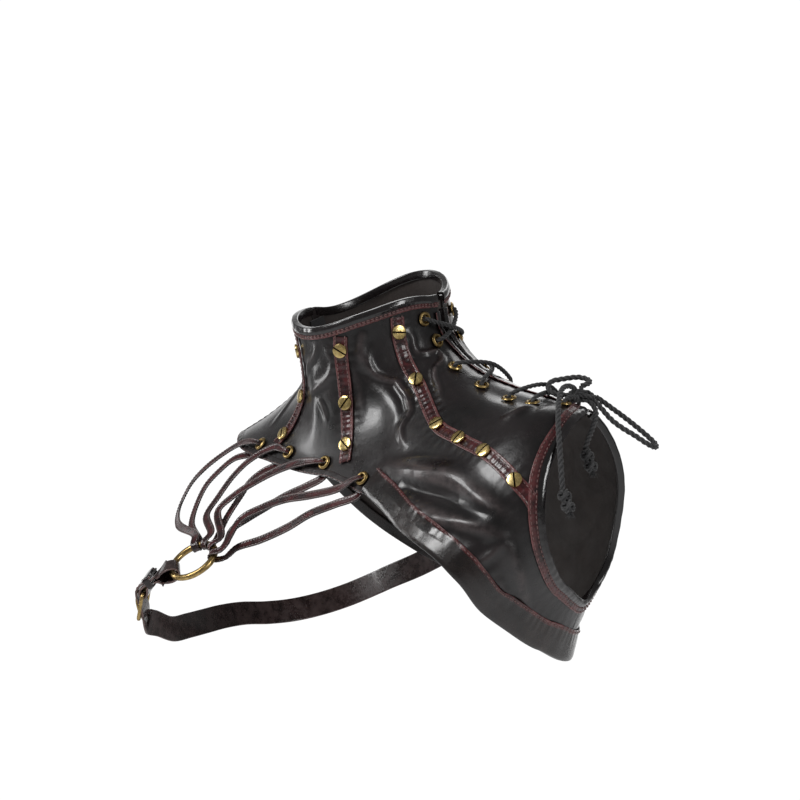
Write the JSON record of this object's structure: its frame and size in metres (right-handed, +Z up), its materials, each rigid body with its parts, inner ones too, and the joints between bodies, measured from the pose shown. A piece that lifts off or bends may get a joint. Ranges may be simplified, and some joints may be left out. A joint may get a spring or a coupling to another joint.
{
  "type": "leather gorget",
  "caption": "Laced dark leather gorget: a high collar with a shoulder yoke, slotted studs, shoulder lacing with a bow, a side zip, thongs to a ring and a buckled chest strap.",
  "frame": {"origin": "middle of the base of the neck, where the collar meets the shoulders", "axes": "+Z up, the wearer faces -Y, the wearer's left is +X"},
  "size_m": [0.3949, 0.2698, 0.3008],
  "materials": {
    "leather": "semi-gloss",
    "hem_leather": "semi-gloss",
    "oxblood": "semi-gloss",
    "strap_leather": "semi-gloss",
    "brass": "antique",
    "stud_brass": "satin",
    "cord": "matte",
    "zip": "antique"
  },
  "bodies": {
    "root": {"front_panel": "leather", "back_panel": "leather", "collar_binding_front": "oxblood", "collar_binding_back": "oxblood", "lacing_binding_front": "oxblood", "lacing_binding_back": "oxblood", "armhole_binding": "oxblood", "hem_band": "hem_leather", "strip_left": "oxblood", "stud_left_1": "stud_brass", "stud_left_2": "stud_brass", "stud_left_3": "stud_brass", "strip_diagonal": "oxblood", "stud_diagonal_1": "stud_brass", "stud_diagonal_2": "stud_brass", "stud_diagonal_3": "stud_brass", "stud_diagonal_4": "stud_brass", "stud_diagonal_5": "stud_brass", "stud_diagonal_6": "stud_brass", "strip_right": "oxblood", "stud_right_1": "stud_brass", "stud_right_2": "stud_brass", "stud_right_3": "stud_brass", "eyelet_front_1": "brass", "eyelet_front_2": "brass", "eyelet_front_3": "brass", "eyelet_front_4": "brass", "eyelet_front_5": "brass", "eyelet_front_6": "brass", "eyelet_front_7": "brass", "eyelet_back_1": "brass", "eyelet_back_2": "brass", "eyelet_back_3": "brass", "eyelet_back_4": "brass", "eyelet_back_5": "brass", "eyelet_back_6": "brass", "eyelet_back_7": "brass", "eyelet_thong_1": "brass", "eyelet_thong_2": "brass", "eyelet_thong_3": "brass", "eyelet_thong_4": "brass", "lacing": "cord", "bow_knot": "cord", "bow_loop_short": "cord", "bow_loop_long": "cord", "tail_front": "cord", "tail_front_knot": "cord", "tail_back": "cord", "tail_back_knot": "cord", "ring": "brass", "thong_1": "strap_leather", "thong_2": "strap_leather", "thong_3": "strap_leather", "thong_4": "strap_leather", "ring_strap": "strap_leather", "chest_strap": "strap_leather", "buckle": "brass", "strap_keeper": "strap_leather", "zip": "zip"}
  },
  "joints": []
}
